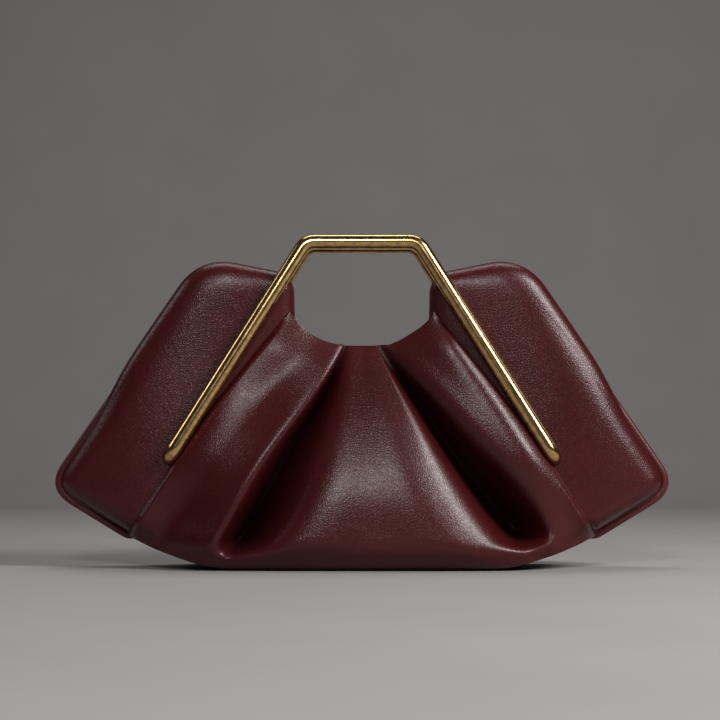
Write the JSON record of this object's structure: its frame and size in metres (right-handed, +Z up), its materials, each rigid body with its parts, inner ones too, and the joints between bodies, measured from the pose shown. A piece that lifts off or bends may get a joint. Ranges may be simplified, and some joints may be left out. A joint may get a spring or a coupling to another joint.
{
  "type": "pleated leather clutch handbag",
  "caption": "Soft leather clutch with a pleated front and back, padded side wings, piped side seams, a flat base and bent brass tube handles over a curved hand opening.",
  "frame": {"origin": "middle of the base panel's lower face, where the bag stands, at the centre of its width and depth", "axes": "+Z up, +X along the width, to the right seen from the front; the front faces -Y"},
  "size_m": [0.3516, 0.0916, 0.1902],
  "materials": {
    "leather": "smooth fine grain with a soft sheen",
    "piping_leather": "smooth, wrapped round a cord",
    "brass": "polished"
  },
  "bodies": {
    "root": {"centre_panel_front": "leather", "pleat_front_left": "leather", "pleat_front_right": "leather", "centre_panel_back": "leather", "pleat_back_left": "leather", "pleat_back_right": "leather", "wing_front_left": "leather", "wing_front_right": "leather", "wing_back_left": "leather", "wing_back_right": "leather", "piping_left": "piping_leather", "piping_right": "piping_leather", "base_panel": "leather", "handle_front": "brass", "handle_back": "brass"}
  },
  "joints": []
}
